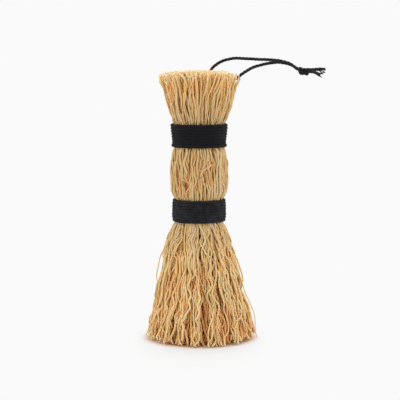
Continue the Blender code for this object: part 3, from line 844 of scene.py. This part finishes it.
@dataclass
class Stretch:
    """A stretch of the bundle, from under a binding to the fibres' ends or to the next binding."""

    fibre: float  # a usual width
    outline: list
    start: float  # the height that the fibres start from
    ends: Callable  # gives the last height of each
    rings: int
    drifts: tuple  # wanders of single fibres: spacing, size, and whether they kink
    sway: tuple  # wander of a tuft: spacing and size
    swing: Callable  # how free a fibre is along its length
    tufts: int
    gather: tuple  # how far fibres draw into their tufts, from least to most
    splay: float  # how far they stand out
    hook: float = 0.0  # how far their ends bend aside
    deeper: float = 0.0  # how much deeper than wide the foot is
    crowd: float = 0.0  # how much they crowd outwards
    inset: float = 0.0  # how far inside the bundle they lie
    shade: float = 1.0  # how dark the painted shade between them gets
    grooved: bool = False  # whether the loop's legs come to lie across their ends

    def bends(self, tubes, share, chance):
        """How far the last of each fibre bends aside."""
        reach = chance.uniform(*HOOK_REACH_SHARES, (tubes, 1))
        rise = np.maximum(share[None, :] - 1 + reach, 0.0) / reach
        aside = chance.normal(0.0, self.hook, (tubes, 1, 2))
        return aside * (rise ** HOOK_POWER)[:, :, None]

    def paths(self, places, widths, chance):
        """Centre lines of the fibres that start at these places of the unit circle.

        Also the share of its length that each ring is at, and how much painted shade it takes for
        lying deep in the bundle."""
        tubes = len(places)
        ends = self.ends(places, chance)
        share = np.linspace(0.0, 1.0, self.rings)
        heights = self.start + (ends[:, None] - self.start) * share
        along = share * abs(ends.mean() - self.start)
        tuft, centres = find_tufts(places, self.tufts, chance)
        gather = (chance.uniform(*self.gather, (tubes, 1)) * ease(share)[None, :])[:, :, None]
        spots = places[:, None] + (centres[tuft] - places)[:, None] * gather
        reach = np.maximum(np.linalg.norm(spots, axis=2), LEAST_REACH)
        spots *= (reach ** (-self.crowd * ease(share)[None, :]))[:, :, None]
        radius = outline_radius(self.outline, heights)
        room = radius - widths[:, None] / 2 - dent_depth(places, heights)
        spots = spots * room[:, :, None]
        unruly = chance.random((tubes, 1)) < UNRULY_SHARE
        swing = self.swing(share)[None, :] * np.where(unruly, UNRULY, 1.0)
        for spacing, size, kinked in self.drifts:
            for axis in (0, 1):
                spots[:, :, axis] += swing * drift(chance, tubes, along, spacing, size, kinked)
        for axis in (0, 1):
            spots[:, :, axis] += swing * drift(chance, self.tufts, along, *self.sway)[tuft]
        spots += self.bends(tubes, share, chance)
        loose = np.maximum(chance.normal(0.0, self.splay, (tubes, 1)), -self.splay)
        loose = np.where(unruly, np.abs(loose) + self.splay, loose)
        loose = loose * self.swing(share)[None, :] * share ** SPLAY_POWER
        spots = push_apart(spots, widths, room + loose)
        below = self.inset + np.maximum(room - np.linalg.norm(spots, axis=2), 0.0)
        spots = part(spots, heights, below)
        # Painted shade, more the deeper a fibre lies below the outline
        depth = self.shade * (1 - np.exp(-below / DEEP))
        # The painted shade fades towards an upper end, where light gets in
        if ends.mean() > self.start:
            depth *= np.clip((ends[:, None] - heights) / LIT_END, 0.0, 1.0)
        if self.grooved:
            heights = lowered(spots, heights, self.start)
        spots[:, :, 1] *= 1 + self.deeper * share ** 2
        spots[:, :, 0] += lean(heights)
        return np.concatenate([spots, heights[:, :, None]], axis=2), share, depth


# A fibre's own unevenness and tone, and its paler cut end
LUMP_SPACING = 0.004
LUMPINESS = 0.06
TAPER_SHARE = 0.14
TONE_SPREAD = (2.2, 1.9)
CUT_LENGTH = 0.0030
CUT_PALENESS = 0.6
# How golden the patches are: most near the top, a painted glow where light comes through the fibres
GILDING_AND_PAINTED_GLOW = (0.18, 0.80)
PAINTED_GLOW_FROM = 0.1440
PAINTED_GLOW_FADE = 0.0100
# The stretch painted a little darker: painted shade over the middle of the bundle
MIDDLE_SHADE_FROM = 0.048
MIDDLE_SHADE_TO = 0.150
MIDDLE_SHADE_FADE = 0.016


def make_fibres(name, paths, share, depth, widths, sides, chance, nodes):
    """Some of the fibres of a stretch, as one piece."""
    tubes = len(paths)
    span = np.abs(paths[:, -1, 2] - paths[:, 0, 2])[:, None]
    lumps = 1 + drift(chance, tubes, share * span.mean(), LUMP_SPACING, LUMPINESS)
    radii = widths[:, None] / 2 * lumps * (1 - TAPER_SHARE * share[None, :])
    tone = chance.beta(*TONE_SPREAD, tubes)
    cut = np.clip(1 - span * (1 - share[None, :]) / CUT_LENGTH, 0.0, 1.0)
    cut = cut * CUT_PALENESS * (1 - depth)
    # Painted shade over the middle of the bundle, fading in and out at its ends
    middle_shade = ease((paths[:, :, 2] - MIDDLE_SHADE_FROM) / MIDDLE_SHADE_FADE)
    middle_shade = middle_shade * ease((MIDDLE_SHADE_TO - paths[:, :, 2]) / MIDDLE_SHADE_FADE)
    # Real golden patches low down, and a painted glow near the top
    gilding_and_painted_glow = blend(*GILDING_AND_PAINTED_GLOW, ease((paths[:, :, 2] - PAINTED_GLOW_FROM) / PAINTED_GLOW_FADE))
    values = {"tone": tone, "cut": cut, "depth": depth, "middle_shade": middle_shade, "gilding_and_painted_glow": gilding_and_painted_glow}
    piece = tube_mesh(name, paths, radii, sides, values, ROOT_FIBRE)
    return settle(piece, "whisk", "root_fibre", *nodes)


def numbered(kind, first, last):
    """The names of nodes of one kind, from one number to another."""
    return [f"{kind}_{number:02d}" for number in range(first, last + 1)]


WIDTH_SPREAD = (0.64, 1.30)
BUNCHES = 12
INNER_NODES = numbered("inner_bunch", 1, 6) + ["core_fibre"]


def make_stretch(kind, stretch, count, heart_share, sectors, inner_share=0.0):
    """All the fibres of a stretch: outer ones in sectors, for the bunches there, and its heart.

    Shares are of the bundle's radius: where the heart ends, and where the fibres begin."""
    chance = np.random.default_rng(SEEDS[kind])
    places = sunflower(count, inner_share, 1.0, chance)
    widths = stretch.fibre * chance.uniform(*WIDTH_SPREAD, count)
    paths, share, depth = stretch.paths(places, widths, chance)
    outer = np.linalg.norm(places, axis=1) >= heart_share
    angle = np.arctan2(places[:, 1], places[:, 0]) % math.tau
    sector = (angle / math.tau * sectors).astype(int)
    each = BUNCHES // max(sectors, 1)
    for number in range(sectors):
        chosen = outer & (sector == number)
        nodes = numbered(f"{kind}_bunch", number * each + 1, number * each + each)
        make_fibres(f"{kind}_fibres_{number + 1:02d}", paths[chosen], share, depth[chosen],
                    widths[chosen], OUTER_SIDES, chance, nodes)
    if not outer.all():
        make_fibres(f"{kind}_heart", paths[~outer, ::2], share[::2], depth[~outer, ::2],
                    widths[~outer], INNER_SIDES, chance, INNER_NODES)


# The cut ends of each stretch
FOOT_UNEVEN = 0.00028
FOOT_UNEVEN_MOST = 0.0030
FOOT_MIDDLE_SHARE = 0.3
FOOT_CLEARANCE = 0.0004
SIDE_LIFT = 0.0040
FLARE_TOP = 0.1632
RIM_DROP = 0.0007
SIDE_DROP = 0.0025
TOP_UNEVEN = 0.0017
TOP_MIDDLE_SHARE = 0.4
GRIP_TOP = 0.1250
LEAST_MIDDLE = 0.01


def working_ends(places, chance):
    """Cut ends: level in the middle, a little uneven round the rim and off the floor at the sides."""
    reach = np.linalg.norm(places, axis=1)
    uneven = FOOT_UNEVEN * chance.exponential(1.0, len(places)) ** 2
    aside = np.abs(places[:, 0]) / np.maximum(reach, LEAST_MIDDLE)
    uneven = uneven.clip(0.0, FOOT_UNEVEN_MOST) * blend(FOOT_MIDDLE_SHARE, 1.0, reach ** 3)
    return FOOT_CLEARANCE + uneven + SIDE_LIFT * aside ** 3 * reach ** 10


def flare_ends(places, chance):
    """Cut ends of the flare: uneven, a little lower round the rim and lowest at the sides."""
    reach = np.linalg.norm(places, axis=1)
    uneven = np.abs(chance.normal(0.0, TOP_UNEVEN, len(places)))
    uneven = uneven * blend(TOP_MIDDLE_SHARE, 1.0, reach ** 2)
    return FLARE_TOP - RIM_DROP * reach ** 2 - SIDE_DROP * places[:, 0] ** 4 - uneven


def grip_ends(places, chance):
    """The grip's fibres all go on to the same height, out of sight under the upper binding."""
    return np.full(len(places), GRIP_TOP)


# How soon a fibre that is held at both ends gets free, and how deep the inner strands lie
FREE_MIDDLE = 1.6
INNER_DEPTH = 0.0026


def from_binding(held, fade):
    """A fibre that is held at its start and then gets free, over shares of its length."""
    return lambda share: ease((share - held) / fade)


def between_bindings(share):
    """A fibre that is held at both ends."""
    return ease(np.sin(math.pi * share) * FREE_MIDDLE)


WORKING = Stretch(
    fibre=0.00124, outline=WORKING_OUTLINE, start=0.0800, ends=working_ends, rings=61,
    drifts=((0.018, 0.00095, False), (0.0080, 0.00075, False), (0.0047, 0.00056, True)),
    sway=(0.017, 0.00100), swing=from_binding(held=0.03, fade=0.15), tufts=85,
    gather=(0.2, 0.85), splay=0.0011, hook=0.0018, deeper=0.035, crowd=0.36)
# Shorter strands, which start below the binding and fill the inside of the working end
INNER = Stretch(
    fibre=0.00120, outline=[(height, radius - INNER_DEPTH) for height, radius in WORKING_OUTLINE],
    start=0.0620, ends=working_ends, rings=43,
    drifts=((0.018, 0.00095, False), (0.0085, 0.00060, False)),
    sway=(0.017, 0.00080), swing=from_binding(held=0.03, fade=0.15), tufts=60,
    gather=(0.1, 0.6), splay=0.0, hook=0.0012, deeper=0.035, inset=INNER_DEPTH)
FLARE = Stretch(
    fibre=0.00119, outline=FLARE_OUTLINE, start=0.1245, ends=flare_ends, rings=27,
    drifts=((0.020, 0.00080, False), (0.0100, 0.00040, False), (0.0056, 0.00024, True)),
    sway=(0.015, 0.00066), swing=from_binding(held=0.10, fade=0.3), tufts=90,
    gather=(0.0, 0.6), splay=0.0006, hook=0.0004, shade=0.88, grooved=True)
GRIP = Stretch(
    fibre=0.00128, outline=GRIP_OUTLINE, start=0.0790, ends=grip_ends, rings=37,
    drifts=((0.015, 0.00070, False), (0.0080, 0.00050, False), (0.0048, 0.00030, True)),
    sway=(0.014, 0.00060), swing=between_bindings, tufts=70, gather=(0.0, 0.0), splay=0.0004)

make_stretch("working", WORKING, count=440, heart_share=0.58, sectors=6)
make_stretch("inner", INNER, count=340, heart_share=2.0, sectors=0)
make_stretch("grip", GRIP, count=200, heart_share=0.0, sectors=3, inner_share=0.74)
make_stretch("flare", FLARE, count=405, heart_share=0.60, sectors=3)

CORE_HEIGHTS = (0.0770, 0.1270)
CORE_SHARE = 0.72
CORE_RINGS = 21
CORE_SIDES = 36


def make_grip_core():
    """The pressed middle of the grip, which shows only as darkness between its fibres."""
    heights = np.linspace(*CORE_HEIGHTS, CORE_RINGS)
    radius = outline_radius(GRIP_OUTLINE, heights) * CORE_SHARE
    paths = np.stack([lean(heights), np.zeros(CORE_RINGS), heights], axis=1)[None]
    # It takes the full painted shade of the deep fibres and of the bundle's middle
    values = {"tone": [0.0], "cut": [0.0], "depth": [1.0], "middle_shade": [1.0], "gilding_and_painted_glow": [0.0]}
    piece = tube_mesh("grip_core", paths, radius[None], CORE_SIDES, values, ROOT_FIBRE)
    settle(piece, "whisk", "root_fibre")


make_grip_core()

# Stray fibres, each listed from its root to its tip
STRAY_RINGS = 40
STRAY_FIBRE = 0.00074
STRAY_ROUTES = [
    [(-0.0148, -0.0060, 0.0690), (-0.0176, -0.0066, 0.0628), (-0.0205, -0.0070, 0.0574),
     (-0.0238, -0.0074, 0.0514), (-0.0248, -0.0076, 0.0470), (-0.0257, -0.0077, 0.0430),
     (-0.0263, -0.0079, 0.0392), (-0.0260, -0.0080, 0.0360)],
    [(0.0205, -0.0080, 0.0520), (0.0240, -0.0090, 0.0400), (0.0275, -0.0098, 0.0290),
     (0.0300, -0.0102, 0.0235), (0.0327, -0.0104, 0.0165), (0.0333, -0.0106, 0.0120),
     (0.0336, -0.0107, 0.0060), (0.0344, -0.0108, 0.0020)],
    [(-0.0270, -0.0060, 0.0240), (-0.0292, -0.0064, 0.0150), (-0.0305, -0.0068, 0.0090),
     (-0.0318, -0.0070, 0.0050), (-0.0330, -0.0072, 0.0024)],
    [(0.0187, -0.0025, 0.1434), (0.0197, -0.0023, 0.1488), (0.0212, -0.0021, 0.1524),
     (0.0224, -0.0020, 0.1560), (0.0232, -0.0020, 0.1587), (0.0234, -0.0022, 0.1603)],
    [(-0.0180, -0.0020, 0.1379), (-0.0197, -0.0020, 0.1427), (-0.0211, -0.0018, 0.1476),
     (-0.0220, -0.0016, 0.1524), (-0.0227, -0.0015, 0.1572), (-0.0239, -0.0015, 0.1600)],
    [(-0.0161, -0.0045, 0.1380), (-0.0174, -0.0045, 0.1434), (-0.0190, -0.0045, 0.1482),
     (-0.0199, -0.0044, 0.1536), (-0.0211, -0.0044, 0.1584), (-0.0221, -0.0045, 0.1615)],
    [(0.0074, -0.0166, 0.1073), (0.0061, -0.0177, 0.1065), (0.0044, -0.0183, 0.1055),
     (0.0026, -0.0184, 0.1041), (0.0011, -0.0183, 0.1027), (0.0004, -0.0170, 0.1002)],
]


def make_strays():
    """The stray fibres, with as many rings each as the one with the fewest."""
    routes = [smooth_route(route, length_of(np.array(route)) / STRAY_RINGS) for route in STRAY_ROUTES]
    rings = min(len(route) for route in routes)
    paths = np.array([route[np.linspace(0, len(route) - 1, rings).round().astype(int)]
                      for route in routes])
    share = np.linspace(0.0, 1.0, rings)
    widths = np.full(len(paths), STRAY_FIBRE)
    make_fibres("stray_fibres", paths, share, np.zeros(paths.shape[:2]), widths, OUTER_SIDES,
                np.random.default_rng(SEEDS["strays"]), [])


make_strays()


# Floor, backdrop and lights
FLOOR_HALF = 12.0
FLOOR_COLOUR = (0.695, 0.695, 0.695)
FLOOR_ROUGHNESS = 0.9
FLOOR_SEEN_COLOUR = (0.955, 0.955, 0.955)
# Right at the foot the floor is painted darker and warmer: a painted contact shadow with light thrown
# back warm from the fibres
CONTACT_SHADE_COLOUR = (0.70, 0.52, 0.37)
CONTACT_SHADE_REACH = (0.0316, 0.0372)
# The floor's own paleness shows through more and more, away from the foot
FLOOR_GLOW_SHARES = (0.02, 0.98)
SHADOW_REACH = (0.037, 0.112)
SHADOW_SQUEEZE = (2.7, 1.0, 0.0)
WORLD_STRENGTH = 1.0
SEEN_STRENGTH = 0.956


def make_floor():
    """A pale floor that takes the whisk's shadow, with a painted warm contact shadow right at the
    foot, and shows as bright as the backdrop away from it.
    """
    mesh = bpy.data.meshes.new("floor")
    half = FLOOR_HALF
    mesh.from_pydata([(-half, -half, 0), (half, -half, 0), (half, half, 0), (-half, half, 0)],
                     [], [(0, 1, 2, 3)])
    nodes = Nodes("floor")
    place = nodes.add("TexCoord").outputs["Object"]
    off = nodes.add("VectorMath", {0: place}, operation="LENGTH").outputs["Value"]
    # Painted contact shadow: the floor is darker and warm within a little of the foot's rim
    past_contact_shade = nodes.remap(off, 0.0, 1.0, *CONTACT_SHADE_REACH)
    colour = nodes.mix(past_contact_shade, opaque(CONTACT_SHADE_COLOUR), opaque(FLOOR_COLOUR))
    lit = nodes.finish(Base_Color=colour, Roughness=FLOOR_ROUGHNESS, Specular_IOR_Level=0.0)
    glow = nodes.add("Emission", {"Color": opaque(FLOOR_SEEN_COLOUR), "Strength": 1.0})
    seen = nodes.add("LightPath").outputs["Is Camera Ray"]
    away = nodes.add("Mapping", {"Vector": place, "Scale": SHADOW_SQUEEZE}).outputs[0]
    away = nodes.add("VectorMath", {0: away}, operation="LENGTH").outputs["Value"]
    fade = nodes.remap(away, *FLOOR_GLOW_SHARES, *SHADOW_REACH)
    share = nodes.multiply(seen, nodes.multiply(fade, past_contact_shade))
    shaders = {0: share, 1: nodes.shader.outputs[0], 2: glow.outputs[0]}
    mixed = nodes.add("MixShader", shaders)
    nodes.join(mixed.outputs[0], nodes.tree.nodes["Material Output"], "Surface")
    mesh.materials.append(lit)
    add_object("floor", mesh)


def set_world():
    """A white surround, with one strength for what it lights and one for how it is seen."""
    world = bpy.data.worlds.new("world")
    world.use_nodes = True
    tree = world.node_tree
    background = tree.nodes["Background"]
    path = tree.nodes.new("ShaderNodeLightPath")
    seen = tree.nodes.new("ShaderNodeMix")
    seen.data_type = "FLOAT"
    seen.inputs[2].default_value = WORLD_STRENGTH
    seen.inputs[3].default_value = SEEN_STRENGTH
    tree.links.new(path.outputs["Is Camera Ray"], seen.inputs[0])
    tree.links.new(seen.outputs[0], background.inputs["Strength"])
    background.inputs["Color"].default_value = (1.0, 1.0, 1.0, 1.0)
    bpy.context.scene.world = world


def add_sun(name, azimuth, elevation, strength, angle):
    """A soft lamp in some direction, in degrees from the front and up from the floor."""
    data = bpy.data.lights.new(name, "SUN")
    data.energy = strength
    data.angle = math.radians(angle)
    sun = add_object(name, data)
    turn = math.radians(azimuth)
    rise = math.radians(elevation)
    level = math.cos(rise)
    towards = Vector((math.sin(turn) * level, -math.cos(turn) * level, math.sin(rise)))
    sun.rotation_euler = towards.to_track_quat("Z", "Y").to_euler()


make_floor()
set_world()
add_sun("front", azimuth=-8, elevation=25, strength=0.5, angle=110)
add_sun("left", azimuth=-100, elevation=18, strength=0.85, angle=120)
add_sun("right", azimuth=105, elevation=18, strength=0.85, angle=120)
add_sun("top", azimuth=180, elevation=68, strength=0.45, angle=40)
bpy.context.scene.view_settings.view_transform = "Standard"
